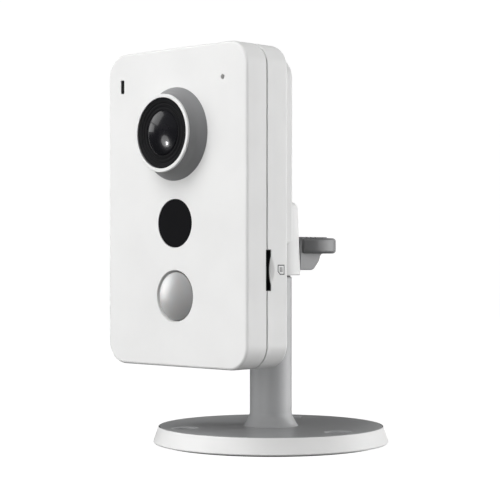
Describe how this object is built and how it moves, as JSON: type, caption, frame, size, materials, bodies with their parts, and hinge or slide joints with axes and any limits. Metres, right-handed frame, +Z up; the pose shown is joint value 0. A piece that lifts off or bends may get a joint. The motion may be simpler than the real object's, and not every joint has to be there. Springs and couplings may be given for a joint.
{
  "type": "security camera",
  "caption": "Small indoor security camera on a desk stand, with a lens above an infrared window and a motion sensor dome, and a locking lever behind the stand's head.",
  "frame": {"origin": "centre of the stand's underside, on the column's axis, where the rubber pad meets the desk", "axes": "+Z up along the column, -Y the way the lens looks, +X to the camera's left as it looks out, which is the card slot's side"},
  "size_m": [0.086, 0.0991, 0.1401],
  "materials": {
    "shell_white": "satin, very fine spark texture",
    "stand_grey": "smooth semi-gloss",
    "lever_grey": "smooth semi-gloss",
    "surround_grey": "satin",
    "black_plastic": "fine matte",
    "washer_nylon": "waxy",
    "window_black": "polished, infrared clear",
    "lens_glass": "coated optical glass",
    "dome_white": "milky moulded lens",
    "pad_rubber": "fine grained",
    "steel": "plated",
    "circuit_board": "solder mask",
    "lamp_epoxy": "cast epoxy",
    "smoked_clear": "polished"
  },
  "bodies": {
    "stand": {"base_pad": "pad_rubber", "base_body": "shell_white", "base_weight": "steel", "stand_column": "stand_grey", "base_screw_1": "steel", "base_screw_2": "steel", "base_screw_3": "steel", "swivel_washer": "washer_nylon", "swivel_clip": "steel"},
    "head": {"swivel_head": "shell_white", "clamp_link": "steel", "tilt_pin": "steel", "lever_pin": "steel"},
    "lever": {"lock_lever": "lever_grey"},
    "camera": {"front_cover": "shell_white", "rear_cover": "shell_white", "cover_screw_1": "steel", "cover_screw_2": "steel", "cover_screw_3": "steel", "cover_screw_4": "steel", "lens_surround": "surround_grey", "lens_trim_ring": "shell_white", "lens_bezel": "black_plastic", "lens_front_element": "lens_glass", "lens_barrel": "black_plastic", "lens_mount": "black_plastic", "image_sensor": "lens_glass", "sensor_board": "circuit_board", "sensor_screw_1": "steel", "sensor_screw_2": "steel", "infrared_window": "window_black", "infrared_lamp_left": "lamp_epoxy", "infrared_lamp_right": "lamp_epoxy", "infrared_board": "circuit_board", "motion_dome": "dome_white", "motion_sensor": "steel", "light_pipe": "smoked_clear", "status_lamp": "lamp_epoxy", "microphone": "black_plastic", "main_board": "circuit_board", "board_screw_1": "steel", "board_screw_2": "steel", "board_screw_3": "steel", "processor_shield": "steel", "antenna_board": "circuit_board", "card_socket": "black_plastic", "network_jack": "black_plastic", "power_jack": "steel", "reset_switch": "black_plastic", "speaker": "black_plastic", "tilt_bracket": "shell_white", "bracket_screw_1": "steel", "bracket_screw_2": "steel", "bracket_screw_3": "steel", "bracket_screw_4": "steel"},
    "reset": {"reset_button": "surround_grey"}
  },
  "joints": [
    {"name": "pan", "type": "hinge", "parent": "stand", "child": "head", "pos_m": [0, 0, 0.0724], "axis": [0, 0, 1], "range_deg": [-170, 170]},
    {"name": "tilt", "type": "hinge", "parent": "head", "child": "camera", "pos_m": [0, -0.015, 0.0724], "axis": [1, 0, 0], "range_deg": [-35, 25]},
    {"name": "lock", "type": "hinge", "parent": "head", "child": "lever", "pos_m": [0, 0.0125, 0.0724], "axis": [1, 0, 0], "range_deg": [0, 80]},
    {"name": "reset_press", "type": "slide", "parent": "camera", "child": "reset", "axis": [0, -1, 0], "range_m": [0, 0.0005], "stiffness_N_per_m": 400}
  ]
}
